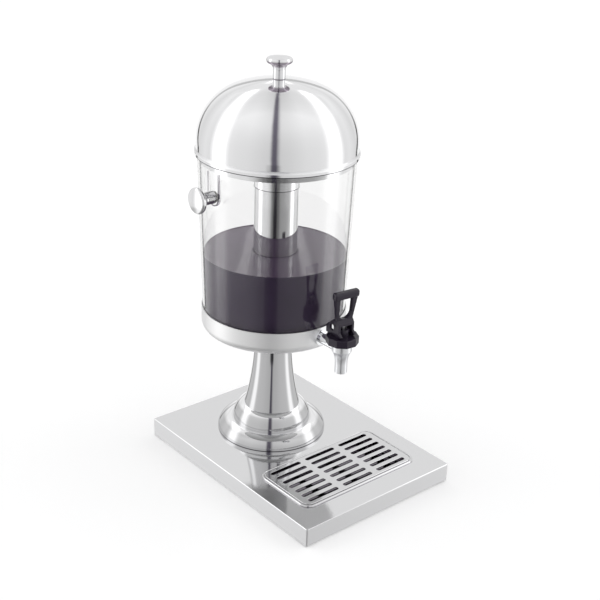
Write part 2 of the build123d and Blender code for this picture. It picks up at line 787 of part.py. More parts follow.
# Lever cheeks: a pair of plates, each with a flat heel, a rolling toe and a window.
cheek_inner = tower_radius + cheek_gap
cheek_outer = cheek_inner + cheek_thickness
cam_radius = pin_rise - lever_gap
cam_end = radians(cam_sweep)
cam_mid = cam_end / 2
cheek_back = cheek_rear_reach - cheek_back_inset
window_center = (window_front + window_length / 2, window_floor + window_height / 2 - cam_radius)
with BuildPart() as lever_cheeks:
    for cheek_face in (cheek_inner, -cheek_outer):
        with BuildSketch(eye_plane.offset(cheek_face)):
            with BuildLine():
                heel = Line((cheek_rear_reach, -cam_radius), (-cam_offset, -cam_radius))
                toe = ThreePointArc(
                    heel @ 1,
                    (-cam_offset - cam_radius * sin(cam_mid), -cam_radius * cos(cam_mid)),
                    (-cam_offset - cam_radius * sin(cam_end), -cam_radius * cos(cam_end)),
                )
                cheek_edge = Polyline(
                    toe @ 1,
                    (-cheek_front_reach, cheek_notch_height - cam_radius),
                    (-cheek_front_reach, cheek_front_height - cam_radius),
                    (-cheek_top_half_width, cheek_top_rise),
                    (cheek_top_half_width, cheek_top_rise),
                    (cheek_back, cheek_back_height - cam_radius),
                    (cheek_rear_reach, cheek_rear_height - cam_radius),
                    heel @ 0,
                )
            make_face()
            with Locations(window_center):
                RectangleRounded(window_length, window_height, window_corner, mode=Mode.SUBTRACT)
        extrude(amount=cheek_thickness)
    cheek_sides = lever_cheeks.faces().sort_by(Axis((0, tap_y, pin_z), tap_across))
    fillet(cheek_sides[0].edges() + cheek_sides[-1].edges(), cheek_edge_round)

# Tap lever: a stirrup with a grip bar on the cheeks, and a front wall between them.
web_bottom = plunger_eye_radius + web_gap
wall_front = -cheek_front_reach
wall_back = wall_front + wall_thickness
loop_top = stirrup_rise - grip_height / 4
loop_center = loop_floor + loop_half_width
lean_sin = sin(radians(lever_lean))
lean_cos = cos(radians(lever_lean))
lever_up = Vector(0, 0, lean_cos) - tap_along * lean_sin
lever_back = tap_along * lean_cos + Vector(0, 0, lean_sin)
stirrup_plane = Plane(origin=(0, tap_y, pin_z), x_dir=tap_across, z_dir=-lever_back)
grip_center = Vector(0, tap_y, pin_z) + lever_up * stirrup_rise
grip_plane = Plane(origin=grip_center, x_dir=lever_back, z_dir=tap_across)
with BuildPart() as tap_lever:
    with BuildSketch(stirrup_plane):
        with BuildLine():
            Polyline(
                (-cheek_outer, web_bottom),
                (cheek_outer, web_bottom),
                (cheek_outer, cheek_top_rise),
                (stirrup_top_half_width, loop_top),
                (stirrup_top_half_width, stirrup_rise),
                (-stirrup_top_half_width, stirrup_rise),
                (-stirrup_top_half_width, loop_top),
                (-cheek_outer, cheek_top_rise),
                close=True,
            )
        make_face()
        with BuildLine():
            loop_right = Line((loop_half_width, loop_top), (loop_half_width, loop_center))
            loop_bend = ThreePointArc(loop_right @ 1, (0, loop_floor), (-loop_half_width, loop_center))
            loop_left = Line(loop_bend @ 1, (-loop_half_width, loop_top))
            loop_roof = Line(loop_left @ 1, loop_right @ 0)
        make_face(mode=Mode.SUBTRACT)
    extrude(amount=stirrup_depth / 2, both=True)
    stirrup_sides = tap_lever.faces().sort_by(Axis((0, tap_y, pin_z), lever_back))
    fillet(stirrup_sides[0].edges() + stirrup_sides[-1].edges(), stirrup_edge_round)
    with BuildSketch(grip_plane):
        RectangleRounded(grip_depth, grip_height, grip_corner)
    extrude(amount=grip_length / 2, both=True)
    grip_ends = tap_lever.faces().sort_by(Axis((0, tap_y, pin_z), tap_across))
    fillet(grip_ends[0].edges() + grip_ends[-1].edges(), grip_end_round)
    add(lever_cheeks.part)
    with BuildSketch(eye_plane):
        with BuildLine():
            Polyline(
                (wall_front, 0),
                (wall_back, 0),
                (wall_back, web_bottom),
                (0, web_bottom),
                (0, cheek_top_rise),
                (-cheek_top_half_width, cheek_top_rise),
                (wall_front, cheek_front_height - cam_radius),
                close=True,
            )
        make_face()
    extrude(amount=cheek_inner, both=True)
    with BuildSketch(eye_plane):
        Circle(pin_radius)
    extrude(amount=cheek_outer, both=True, mode=Mode.SUBTRACT)
tap_lever.part.label = "tap_lever"
export_step(tap_lever.part, "parts/tap_lever.step")

# Lever pin: held in the cheeks, turning in the plunger's eye.
with BuildPart() as lever_pin:
    with BuildSketch(eye_plane):
        Circle(pin_radius)
    extrude(amount=cheek_outer, both=True)
lever_pin.part.label = "lever_pin"
export_step(lever_pin.part, "parts/lever_pin.step")

# Lid dome: flared bead, wall, knuckle arc and crown arc, of even thickness above the bead.
knuckle_center = (dome_reach, lid_shoulder)
junction_x = dome_crown * dome_reach / dome_gap
junction_z = crown_center + dome_crown * dome_drop / dome_gap
knuckle_arc = degrees(atan2(junction_z - lid_shoulder, junction_x - dome_reach))
crown_hole = screw_radius + screw_clearance
crown_hole_z = crown_center + sqrt(dome_crown**2 - crown_hole**2)
crown_inner = dome_crown - lid_sheet
crown_hole_inner_z = crown_center + sqrt(crown_inner**2 - crown_hole**2)
crown_mid = radians((90 + knuckle_arc) / 2)
with BuildPart() as lid_dome:
    with BuildSketch(tank_section):
        with BuildLine():
            lid_edge = Line((lid_inner, lid_bottom), (bead_radius, lid_bottom))
            bead_side = Line(lid_edge @ 1, (bead_radius, bead_shelf))
            bead_flare = TangentArc((lid_radius, bead_shelf + bead_root), bead_side @ 1, tangent=(0, -1))
            lid_wall = Line(bead_flare @ 0, (lid_radius, lid_shoulder))
            knuckle = CenterArc(knuckle_center, dome_knuckle, 0, knuckle_arc)
            crown = ThreePointArc(
                knuckle @ 1,
                (dome_crown * cos(crown_mid), crown_center + dome_crown * sin(crown_mid)),
                (crown_hole, crown_hole_z),
            )
            crown_edge = Line(crown @ 1, (crown_hole, crown_hole_inner_z))
            knuckle_in = CenterArc(knuckle_center, dome_knuckle - lid_sheet, 0, knuckle_arc)
            crown_in = ThreePointArc(
                crown_edge @ 1,
                (crown_inner * cos(crown_mid), crown_center + crown_inner * sin(crown_mid)),
                knuckle_in @ 1,
            )
            lid_wall_in = Line(knuckle_in @ 0, lid_edge @ 0)
        make_face()
    revolve(axis=tank_axis)
    rings = lid_dome.edges().filter_by(GeomType.CIRCLE)
    fillet([e for e in rings if abs(e.radius - bead_radius) < bead_proud / 2], bead_round)
lid_dome.part.label = "lid_dome"
export_step(lid_dome.part, "parts/lid_dome.step")

# Lid skirt: ring with a flange that lies on the tank's rim and a wall that goes down inside it.
skirt_radius = rim_inner - skirt_clearance
with BuildPart() as lid_skirt:
    with BuildSketch(tank_plane(rim_z)):
        Circle(lid_inner - skirt_fit)
        Circle(skirt_radius - skirt_sheet, mode=Mode.SUBTRACT)
    extrude(amount=skirt_sheet)
    with BuildSketch(tank_plane(rim_z - skirt_depth)):
        Circle(skirt_radius)
        Circle(skirt_radius - skirt_sheet, mode=Mode.SUBTRACT)
    extrude(amount=skirt_depth)
lid_skirt.part.label = "lid_skirt"
export_step(lid_skirt.part, "parts/lid_skirt.step")


def knob_on(seat):
    """Mushroom knob standing on a plane: neck, concave flare, rounded rim and slightly domed face."""
    section = Plane(origin=seat.origin, x_dir=seat.x_dir, z_dir=-seat.y_dir)
    with BuildPart() as knob:
        with BuildSketch(section):
            with BuildLine():
                neck = Polyline((0, 0), (knob_neck_radius, 0), (knob_neck_radius, knob_neck_length))
                flare = TangentArc(neck @ 1, (knob_flare_radius, knob_flare_z), tangent=(0, 1))
                rim = TangentArc(flare @ 1, (knob_radius, knob_rim_z), tangent=flare % 1)
                shoulder = CenterArc(
                    (knob_radius - knob_shoulder, knob_rim_z), knob_shoulder, 0, 90 - knob_crown_slope
                )
                crown = TangentArc(shoulder @ 1, (0, knob_height), tangent=shoulder % 1)
                knob_axis = Line(crown @ 1, (0, 0))
            make_face()
        revolve(axis=Axis(seat.origin, seat.z_dir))
        with BuildSketch(seat):
            Circle(screw_radius)
        extrude(amount=screw_grip, mode=Mode.SUBTRACT)
    return knob.part


# Lid knob with its washer and screw inside the dome.
lid_knob_z = crown_center + sqrt(dome_crown**2 - knob_neck_radius**2)
with BuildPart() as lid_knob:
    add(knob_on(tank_plane(lid_knob_z)))
    with Locations((0, tank_setback, crown_center)):
        Sphere(dome_crown, mode=Mode.SUBTRACT)
lid_knob.part.label = "lid_knob"
export_step(lid_knob.part, "parts/lid_knob.step")

lid_washer_top = crown_center + sqrt(crown_inner**2 - knob_washer_radius**2)
lid_washer_bottom = lid_washer_top - knob_washer_thickness
with BuildPart() as lid_knob_washer:
    with BuildSketch(tank_plane(lid_washer_bottom)):
        Circle(knob_washer_radius)
        Circle(screw_radius + screw_clearance, mode=Mode.SUBTRACT)
    extrude(amount=knob_washer_thickness)
lid_knob_washer.part.label = "lid_knob_washer"
export_step(lid_knob_washer.part, "parts/lid_knob_washer.step")

lid_screw_top = lid_knob_z + screw_grip
with BuildPart() as lid_knob_screw:
    with BuildSketch(tank_plane(lid_washer_bottom - screw_head_height)):
        Circle(screw_head_radius)
    extrude(amount=screw_head_height)
    with BuildSketch(tank_plane(lid_washer_bottom)):
        Circle(screw_radius)
    extrude(amount=lid_screw_top - lid_washer_bottom)
lid_knob_screw.part.label = "lid_knob_screw"
export_step(lid_knob_screw.part, "parts/lid_knob_screw.step")

# Side knob on the pad, with a shaped seal and a screw inside the tank.
side_knob_plane = Plane(origin=(-pad_face, tank_setback, side_knob_z), x_dir=(0, -1, 0), z_dir=(-1, 0, 0))
with BuildPart() as side_knob:
    add(knob_on(side_knob_plane))
side_knob.part.label = "side_knob"
export_step(side_knob.part, "parts/side_knob.step")

side_wall_inner = pad_face - pad_proud - tank_wall
side_seal_flat = side_wall_inner - seal_thickness
side_seal_plane = side_bore_plane.offset(side_seal_flat)
with BuildPart() as side_knob_seal:
    with BuildSketch(side_seal_plane):
        Circle(knob_washer_radius)
        Circle(screw_radius + screw_clearance, mode=Mode.SUBTRACT)
    extrude(amount=2 * seal_thickness)
    add(tank_cavity.part, mode=Mode.INTERSECT)
side_knob_seal.part.label = "side_knob_seal"
export_step(side_knob_seal.part, "parts/side_knob_seal.step")

with BuildPart() as side_knob_screw:
    with BuildSketch(side_seal_plane):
        Circle(screw_head_radius)
    extrude(amount=-screw_head_height)
    with BuildSketch(side_seal_plane):
        Circle(screw_radius)
    extrude(amount=pad_face + screw_grip - side_seal_flat)
side_knob_screw.part.label = "side_knob_screw"
export_step(side_knob_screw.part, "parts/side_knob_screw.step")
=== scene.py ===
from math import hypot, pi, radians

import bmesh
import bpy
from mathutils import Matrix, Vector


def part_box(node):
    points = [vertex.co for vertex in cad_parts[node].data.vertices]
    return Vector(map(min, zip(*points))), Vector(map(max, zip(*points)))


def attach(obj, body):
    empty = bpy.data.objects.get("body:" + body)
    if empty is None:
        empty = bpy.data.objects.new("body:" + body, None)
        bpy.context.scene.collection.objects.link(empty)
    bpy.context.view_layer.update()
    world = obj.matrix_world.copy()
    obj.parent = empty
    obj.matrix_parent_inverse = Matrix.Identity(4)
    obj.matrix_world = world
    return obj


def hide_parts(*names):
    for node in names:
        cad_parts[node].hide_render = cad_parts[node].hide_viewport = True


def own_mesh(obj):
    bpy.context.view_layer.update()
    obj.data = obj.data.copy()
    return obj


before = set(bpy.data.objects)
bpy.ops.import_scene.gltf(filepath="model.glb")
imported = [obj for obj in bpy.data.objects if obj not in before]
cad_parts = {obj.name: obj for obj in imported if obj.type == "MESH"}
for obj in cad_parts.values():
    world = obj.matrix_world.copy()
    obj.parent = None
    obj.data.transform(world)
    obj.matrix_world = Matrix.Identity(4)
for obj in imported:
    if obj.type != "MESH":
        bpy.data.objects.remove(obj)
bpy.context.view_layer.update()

# Base cover: a shallow box folded from 1 mm stainless sheet, open below, its corners welded flush.
# The sheet was finished on a fine belt that ran along the long side. Its top was then buffed, so it
# mirrors what stands on it, a little softened, and the folded walls stay satin.
bend_z = 0.0266
belt_along_y = (1.0, 0.02, 1.0)
# A Mix node has its factor in socket 0, its colours in 6 and 7, and its result in output 2.
mix_share, mix_a, mix_b, mix_out = 0, 6, 7, 2


def linear(hexcode):
    """sRGB hex colour as linear RGBA."""
    channels = [int(hexcode[i:i + 2], 16) / 255 for i in (1, 3, 5)]
    return [c / 12.92 if c <= 0.04045 else ((c + 0.055) / 1.055) ** 2.4 for c in channels] + [1.0]


def put(tree, kind, settings=None, links=None):
    """Adds a node with its settings and input values, and links its inputs to other nodes."""
    added = tree.nodes.new(kind)
    for name, value in (settings or {}).items():
        if name == "stops":
            stops = added.color_ramp.elements
            while len(stops) < len(value):
                stops.new(1.0)
            for stop, (position, _) in zip(stops, value):
                stop.position = position
            for stop, (_, colour) in zip(stops, value):
                stop.color = colour
        elif isinstance(name, str) and hasattr(added, name):
            setattr(added, name, value)
        else:
            added.inputs[name].default_value = value
    for name, source in (links or {}).items():
        tree.links.new(source, added.inputs[name])
    return added


def new_finish(name):
    """Empty node material and its tree."""
    finish = bpy.data.materials.new(name)
    finish.use_nodes = True
    finish.node_tree.nodes.clear()
    return finish, finish.node_tree


def dress(finish, *names):
    """Gives CAD nodes their finish."""
    for name in names:
        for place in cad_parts[name].material_slots:
            place.material = finish


def edge_tint(tree, place, colour, low_colour, low_z):
    """Colour of a piece that changes below a height; where the low colour is dark, it is painted
    shade.
    """
    at = put(tree, "ShaderNodeSeparateXYZ", links={"Vector": place})
    low = put(tree, "ShaderNodeMath", {"operation": "LESS_THAN", 1: low_z}, {0: at.outputs["Z"]})
    tint = put(
        tree, "ShaderNodeMix",
        {"data_type": "RGBA", mix_a: linear(colour), mix_b: linear(low_colour)},
        {mix_share: low.outputs[0]},
    )
    return tint.outputs[mix_out]


def belted_steel(name, colour, rough, stretch, low_colour=None, low_z=0.0, low_rough=0.0):
    """Stainless steel finished on a belt: the scratches are about 0.1 mm apart and are drawn
    0.7 mm apart so that they show, and soft clouds 60 mm across vary the polish, so highlights
    look slightly uneven. Below low_z it can have another colour and be duller by low_rough."""
    scratch_mm, cloud_mm = 0.7, 60
    unevenness = 0.04
    scratch_depth = 0.0002
    finish, tree = new_finish(name)
    place = put(tree, "ShaderNodeTexCoord").outputs["Object"]
    along = put(tree, "ShaderNodeMapping", {"Scale": stretch}, {"Vector": place})
    scratch = put(
        tree, "ShaderNodeTexNoise", {"Scale": 1000 / scratch_mm, "Detail": 2.0},
        {"Vector": along.outputs[0]},
    )
    cloud = put(
        tree, "ShaderNodeTexNoise", {"Scale": 1000 / cloud_mm, "Detail": 2.0}, {"Vector": place}
    )
    uneven = put(
        tree, "ShaderNodeMath",
        {"operation": "MULTIPLY_ADD", 1: unevenness, 2: rough - unevenness},
        {0: cloud.outputs["Fac"]},
    )
    belt = put(
        tree, "ShaderNodeMath", {"operation": "MULTIPLY_ADD", 1: unevenness},
        {0: scratch.outputs["Fac"], 2: uneven.outputs[0]},
    )
    at = put(tree, "ShaderNodeSeparateXYZ", links={"Vector": place})
    low = put(tree, "ShaderNodeMath", {"operation": "LESS_THAN", 1: low_z}, {0: at.outputs["Z"]})
    polish = put(
        tree, "ShaderNodeMath", {"operation": "MULTIPLY_ADD", 1: low_rough},
        {0: low.outputs[0], 2: belt.outputs[0]},
    )
    bump = put(
        tree, "ShaderNodeBump", {"Strength": 0.02, "Distance": scratch_depth},
        {"Height": scratch.outputs["Fac"]},
    )
    steel = put(
        tree, "ShaderNodeBsdfPrincipled", {"Metallic": 1.0},
        {
            "Base Color": edge_tint(tree, place, colour, low_colour or colour, low_z),
            "Roughness": polish.outputs[0], "Normal": bump.outputs[0],
        },
    )
    put(tree, "ShaderNodeOutputMaterial", links={"Surface": steel.outputs[0]})
    return finish


base_steel = belted_steel(
    "stainless_belt_buffed", "#e2e2e3", rough=0.07, stretch=belt_along_y,
    low_colour="#e0e0e1", low_z=bend_z, low_rough=0.4,
)
dress(base_steel, "base_cover")


# Rubber feet: four push-in bumpers of black nitrile rubber, moulded, their stems pressed through
# the base's lip. Moulded rubber is matt and slightly grainy, with no highlight to speak of.
def grained(name, dark, light, grain_mm, gloss, relief=0.0, detail=2.0):
    """Rubber, plastic or liquid in two close shades that a grain mixes. A fine grain is drawn
    coarser than it is, 0.7 mm or more, so that it shows."""
    grain_depth = 0.0002
    finish, tree = new_finish(name)
    place = put(tree, "ShaderNodeTexCoord").outputs["Object"]
    grain = put(
        tree, "ShaderNodeTexNoise", {"Scale": 1000 / grain_mm, "Detail": detail}, {"Vector": place}
    )
    tint = put(
        tree, "ShaderNodeMix", {"data_type": "RGBA", mix_a: linear(dark), mix_b: linear(light)},
        {mix_share: grain.outputs["Fac"]},
    )
    surface = put(
        tree, "ShaderNodeBsdfPrincipled", gloss, {"Base Color": tint.outputs[mix_out]}
    )
    if relief:
        bump = put(
            tree, "ShaderNodeBump", {"Strength": relief, "Distance": grain_depth},
            {"Height": grain.outputs["Fac"]},
        )
        tree.links.new(bump.outputs[0], surface.inputs["Normal"])
    put(tree, "ShaderNodeOutputMaterial", links={"Surface": surface.outputs[0]})
    return finish


foot_rubber = grained(
    "nitrile_rubber_moulded", "#19191a", "#242425", 0.8, {"Roughness": 0.75}, relief=0.2
)
dress(foot_rubber, "rubber_feet")

# Backing plate, plug, tie rod, washer and nut: turned and sheared steel parts that clamp the cup,
# the pedestal and the base together from below. Machined steel is greyer and duller than sheet.
no_grain = (1.0, 1.0, 1.0)
turned_steel = belted_steel("steel_turned", "#b4b4b6", rough=0.3, stretch=no_grain)
dress(turned_steel, "backing_plate", "stem_plug", "tie_rod", "tie_washer", "tie_nut")


# Pedestal: a two-step foot pressed from stainless sheet and a trumpet tube spun from it, buffed to
# a mirror and held down by the tie rod through the middle.
def mirror_steel(name, colour, rough, satin=0.0, satin_y=0.0):
    """Buffed stainless steel: a mirror with a faint ripple about 20 mm long left by the wheel, and
    a trace of haze, so reflections have clean edges that wander slightly. In front of satin_y it
    can be left satin."""
    ripple_mm, haze_mm = 20, 45
    ripple_depth = 0.0005
    haze_spread = 0.05
    finish, tree = new_finish(name)
    place = put(tree, "ShaderNodeTexCoord").outputs["Object"]
    ripple = put(
        tree, "ShaderNodeTexNoise", {"Scale": 1000 / ripple_mm, "Detail": 1.0}, {"Vector": place}
    )
    haze = put(
        tree, "ShaderNodeTexNoise", {"Scale": 1000 / haze_mm, "Detail": 3.0}, {"Vector": place}
    )
    buffed = put(
        tree, "ShaderNodeMath",
        {"operation": "MULTIPLY_ADD", 1: haze_spread, 2: rough - haze_spread / 2},
        {0: haze.outputs["Fac"]},
    )
    at = put(tree, "ShaderNodeSeparateXYZ", links={"Vector": place})
    front = put(
        tree, "ShaderNodeMath", {"operation": "LESS_THAN", 1: satin_y}, {0: at.outputs["Y"]}
    )
    polish = put(
        tree, "ShaderNodeMath", {"operation": "MULTIPLY_ADD", 1: satin},
        {0: front.outputs[0], 2: buffed.outputs[0]},
    )
    bump = put(
        tree, "ShaderNodeBump", {"Strength": 0.01, "Distance": ripple_depth},
        {"Height": ripple.outputs["Fac"]},
    )
    steel = put(
        tree, "ShaderNodeBsdfPrincipled", {"Metallic": 1.0, "Base Color": linear(colour)},
        {"Roughness": polish.outputs[0], "Normal": bump.outputs[0]},
    )
    put(tree, "ShaderNodeOutputMaterial", links={"Surface": steel.outputs[0]})
    return finish


def banded_steel(name, foot_z, height, bands, rough, crown_satin=0.0):
    """Buffed steel whose colour goes with height in painted bands: painted highlights on shoulders,
    painted shade in throats and a painted shadow line at the foot. The crown, the last twentieth,
    can stay satin from the lathe. The haze varies over about 12 mm."""
    crown_part = 0.945
    haze_mm = 12
    haze_spread = 0.04
    finish, tree = new_finish(name)
    place = put(tree, "ShaderNodeTexCoord").outputs["Object"]
    at = put(tree, "ShaderNodeSeparateXYZ", links={"Vector": place})
    rise = put(tree, "ShaderNodeMath", {"operation": "SUBTRACT", 1: foot_z}, {0: at.outputs["Z"]})
    level = put(tree, "ShaderNodeMath", {"operation": "DIVIDE", 1: height}, {0: rise.outputs[0]})
    tint = put(
        tree, "ShaderNodeValToRGB", {"stops": [(part, linear(colour)) for part, colour in bands]},
        {"Fac": level.outputs[0]},
    )
    crown = put(
        tree, "ShaderNodeMath", {"operation": "GREATER_THAN", 1: crown_part}, {0: level.outputs[0]}
    )
    haze = put(
        tree, "ShaderNodeTexNoise", {"Scale": 1000 / haze_mm, "Detail": 3.0}, {"Vector": place}
    )
    buffed = put(
        tree, "ShaderNodeMath",
        {"operation": "MULTIPLY_ADD", 1: haze_spread, 2: rough - haze_spread / 2},
        {0: haze.outputs["Fac"]},
    )
    polish = put(
        tree, "ShaderNodeMath", {"operation": "MULTIPLY_ADD", 1: crown_satin},
        {0: crown.outputs[0], 2: buffed.outputs[0]},
    )
    steel = put(
        tree, "ShaderNodeBsdfPrincipled", {"Metallic": 1.0},
        {"Base Color": tint.outputs["Color"], "Roughness": polish.outputs[0]},
    )
    put(tree, "ShaderNodeOutputMaterial", links={"Surface": steel.outputs[0]})
    return finish


# The foot's colour bands are painted: a painted shadow line at its bottom edge and painted
# highlights on its two shoulders.
foot_bottom_z, foot_height = 0.0277, 0.0405
foot_painted_shadow, foot_wall, foot_painted_highlight = "#3c383e", "#c8c8c9", "#f4f4f5"
foot_bands = [
    (0.0, foot_painted_shadow), (0.015, foot_painted_shadow), (0.02, foot_wall), (0.34, foot_wall),
    (0.39, foot_painted_highlight), (0.42, foot_painted_highlight), (0.425, foot_wall), (0.88, foot_wall),
    (0.95, foot_painted_highlight),
]
foot_steel = banded_steel(
    "stainless_pressed_buffed", foot_bottom_z, foot_height, foot_bands, rough=0.06
)
dress(foot_steel, "pedestal_foot")
stem_steel = mirror_steel("stainless_spun_trumpet", "#c2c2c3", rough=0.06)
dress(stem_steel, "pedestal_stem")

# Tank cup: a shallow cup spun from stainless sheet, satin finished round its wall, in which the
# tank stands. The lathe's satin blurs reflections into soft light and dark patches.
cup_turn_z = 0.1925
satin_round = (1.0, 1.0, 0.05)
cup_steel = belted_steel(
    "stainless_spun_satin", "#f9f9f9", rough=0.46, stretch=satin_round,
    low_colour="#f4f4f4", low_z=cup_turn_z, low_rough=0.27,
)
dress(cup_steel, "tank_cup")

# Clear tank: injection moulded SAN, a tapered cylinder with a thick floor and a flat pad for the
# side knob. Moulded SAN is clear and glossy with a trace of haze in patches about 60 mm across, and
# a dark line is painted along the pad's edge: painted shade standing in for the refraction at its
# step.
axis_y = 0.0597
pad_knob_z = 0.4035
pad_line_top = 0.4365
pad_half_width = 0.0115
line_half_width = 0.0007
pad_side_x = -0.09
haze_mm, most_haze = 60, 0.02
san_ior = 1.5
tank_san, tree = new_finish("clear_san_moulded")
place = put(tree, "ShaderNodeTexCoord").outputs["Object"]
at = put(tree, "ShaderNodeSeparateXYZ", links={"Vector": place})
sideways = put(tree, "ShaderNodeMath", {"operation": "SUBTRACT", 1: axis_y}, {0: at.outputs["Y"]})
above = put(tree, "ShaderNodeMath", {"operation": "SUBTRACT", 1: pad_knob_z}, {0: at.outputs["Z"]})
below = put(tree, "ShaderNodeMath", {"operation": "MINIMUM", 1: 0.0}, {0: above.outputs[0]})
spot = put(tree, "ShaderNodeCombineXYZ", links={"X": sideways.outputs[0], "Y": below.outputs[0]})
reach = put(tree, "ShaderNodeVectorMath", {"operation": "LENGTH"}, {0: spot.outputs[0]})
line = put(
    tree, "ShaderNodeMath", {"operation": "COMPARE", 1: pad_half_width, 2: line_half_width},
    {0: reach.outputs["Value"]},
)
under_top = put(
    tree, "ShaderNodeMath", {"operation": "LESS_THAN", 1: pad_line_top}, {0: at.outputs["Z"]}
)
knob_side = put(
    tree, "ShaderNodeMath", {"operation": "LESS_THAN", 1: pad_side_x}, {0: at.outputs["X"]}
)
cut = put(
    tree, "ShaderNodeMath", {"operation": "MULTIPLY"}, {0: line.outputs[0], 1: under_top.outputs[0]}
)
edge = put(
    tree, "ShaderNodeMath", {"operation": "MULTIPLY"}, {0: cut.outputs[0], 1: knob_side.outputs[0]}
)
# Painted shade: a dark line along the pad's edge, in place of the refraction at its step.
tint = put(
    tree, "ShaderNodeMix",
    {"data_type": "RGBA", mix_a: linear("#fdfdfd"), mix_b: linear("#453f4b")},
    {mix_share: edge.outputs[0]},
)
haze = put(tree, "ShaderNodeTexNoise", {"Scale": 1000 / haze_mm, "Detail": 2.0}, {"Vector": place})
polish = put(
    tree, "ShaderNodeMath", {"operation": "MULTIPLY", 1: most_haze}, {0: haze.outputs["Fac"]}
)
san = put(
    tree, "ShaderNodeBsdfPrincipled", {"Transmission Weight": 1.0, "IOR": san_ior},
    {"Base Color": tint.outputs[mix_out], "Roughness": polish.outputs[0]},
)
path = put(tree, "ShaderNodeLightPath")
lit = put(
    tree, "ShaderNodeMath", {"operation": "MAXIMUM"},
    {0: path.outputs["Is Shadow Ray"], 1: path.outputs["Is Diffuse Ray"]},
)
clear = put(tree, "ShaderNodeBsdfTransparent", {"Color": linear("#f6f6f6")})
wall = put(
    tree, "ShaderNodeMixShader", links={0: lit.outputs[0], 1: san.outputs[0], 2: clear.outputs[0]}
)
put(tree, "ShaderNodeOutputMaterial", links={"Surface": wall.outputs[0]})
dress(tank_san, "clear_tank")

# Seals: rings of translucent white silicone rubber, moulded, squeezed at the tank's floor, the
# tap's shank, the side knob and the valve seat. The rubber is milky, and softly shiny.
seal_silicone = grained("silicone_moulded", "#dcdbd6", "#e8e7e3", 2, {"Roughness": 0.45})
dress(seal_silicone, "floor_seal", "shank_seal", "seat_cup", "side_knob_seal")

# Ice tube: a thin stainless tube closed below, with a pressed cap on top, which stands in a turned
# seat on the tank's floor and keeps ice out of the juice. It is buffed to a mirror.
tube_steel = mirror_steel("stainless_mirror_buffed", "#eeeeef", rough=0.06)
dress(turned_steel, "tube_seat")
dress(tube_steel, "ice_tube")
# The cap's lower edge is painted dark: a painted shade line along its bottom.
cap_bottom_z, cap_height = 0.3997, 0.0169
cap_painted_shade, cap_wall = "#57525a", "#fbfbfc"
cap_bands = [(0.0, cap_painted_shade), (0.04, cap_painted_shade), (0.06, cap_wall), (1.0, cap_wall)]
cap_steel = banded_steel("stainless_cap_pressed", cap_bottom_z, cap_height, cap_bands, rough=0.06)
dress(cap_steel, "ice_tube_cap")

# Juice: the filling, dark grape juice up to a little under half the tank, round the ice tube.
# It is nearly opaque: purple black through the wall, and a glossy surface that mirrors the tube on
# top, painted a lighter purple than the side as if lit from above. The pulp makes clouds about 25
# mm across.
juice_floor = 0.1972
juice_top = 0.3058
cup_rim_z, tank_rim_z = 0.225, 0.4475
low_radius, rim_radius = 0.0967, 0.1037
seat_radius, seat_top = 0.0350, 0.2141
tube_radius = 0.0306
floor_round, round_segments = 0.0073, 8
meniscus = 0.0008
spin_steps = 180
sharp_degrees = 40
facing_up = 0.5
tiny = 1e-6
pulp_mm, pulp_detail = 25, 4.0
juice_ior = 1.34
taper = (rim_radius - low_radius) / (tank_rim_z - cup_rim_z)
wall_radius = low_radius + taper * (juice_top - cup_rim_z)
profile = [
    (seat_radius, juice_floor), (low_radius, juice_floor), (low_radius, cup_rim_z),
    (wall_radius, juice_top + meniscus), (wall_radius - 2 * meniscus, juice_top),
    (wall_radius - 3 * meniscus, juice_top), (tube_radius + 3 * meniscus, juice_top),
    (tube_radius + 2 * meniscus, juice_top), (tube_radius, juice_top + meniscus),
    (tube_radius, seat_top), (seat_radius, seat_top),
]
mesh = bmesh.new()
corners = [mesh.verts.new((radius, axis_y, z)) for radius, z in profile]
sides = [mesh.edges.new(pair) for pair in zip(corners, corners[1:] + corners[:1])]
bmesh.ops.spin(
    mesh, geom=corners + sides, cent=(0, axis_y, 0), axis=(0, 0, 1), angle=2 * pi,
    steps=spin_steps, use_merge=True,
)
bmesh.ops.remove_doubles(mesh, verts=mesh.verts, dist=tiny)
bmesh.ops.recalc_face_normals(mesh, faces=mesh.faces)
floor_ring = [
    rim for rim in mesh.edges
    if all(v.co.z < juice_floor + tiny for v in rim.verts)
    and all(hypot(v.co.x, v.co.y - axis_y) > low_radius - tiny for v in rim.verts)
]
bmesh.ops.bevel(
    mesh, geom=floor_ring, offset=floor_round, affect="EDGES", segments=round_segments,
    profile=0.5, material=-1,
)
for face in mesh.faces:
    face.smooth = True
    is_top = face.normal.z > facing_up and face.calc_center_median().z > seat_top + tiny
    face.material_index = int(is_top)
juice_data = bpy.data.meshes.new("juice_fill")
mesh.to_mesh(juice_data)
mesh.free()
juice_data.set_sharp_from_angle(angle=radians(sharp_degrees))
juice = bpy.data.objects.new("juice_fill", juice_data)
bpy.context.collection.objects.link(juice)
# The top's colours are painted lighter than the side's: painted light, as if lit from above.
for name, dark, light, rough, shine in (
    ("grape_juice_side", "#40344a", "#4a3e55", 0.5, 0.1),
    ("grape_juice_top", "#574560", "#614f68", 0.03, 0.8),
):
    gloss = {"Roughness": rough, "IOR": juice_ior, "Specular IOR Level": shine}
    juice_data.materials.append(grained(name, dark, light, pulp_mm, gloss, detail=pulp_detail))
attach(juice, "stand")

# Tap: a brass body with shank and flared spout, a flange against the cup and a nut inside the tank,
# all chromium plated, which gives a bluish mirror without grain. The spout is blasted before
# plating and stays satin.
spout_back_y = -0.0715
tap_chrome = mirror_steel(
    "brass_chromium_plated", "#f4f5f7", rough=0.08, satin=0.22, satin_y=spout_back_y
)
dress(tap_chrome, "tap_flange", "shank_nut", "tap_body")

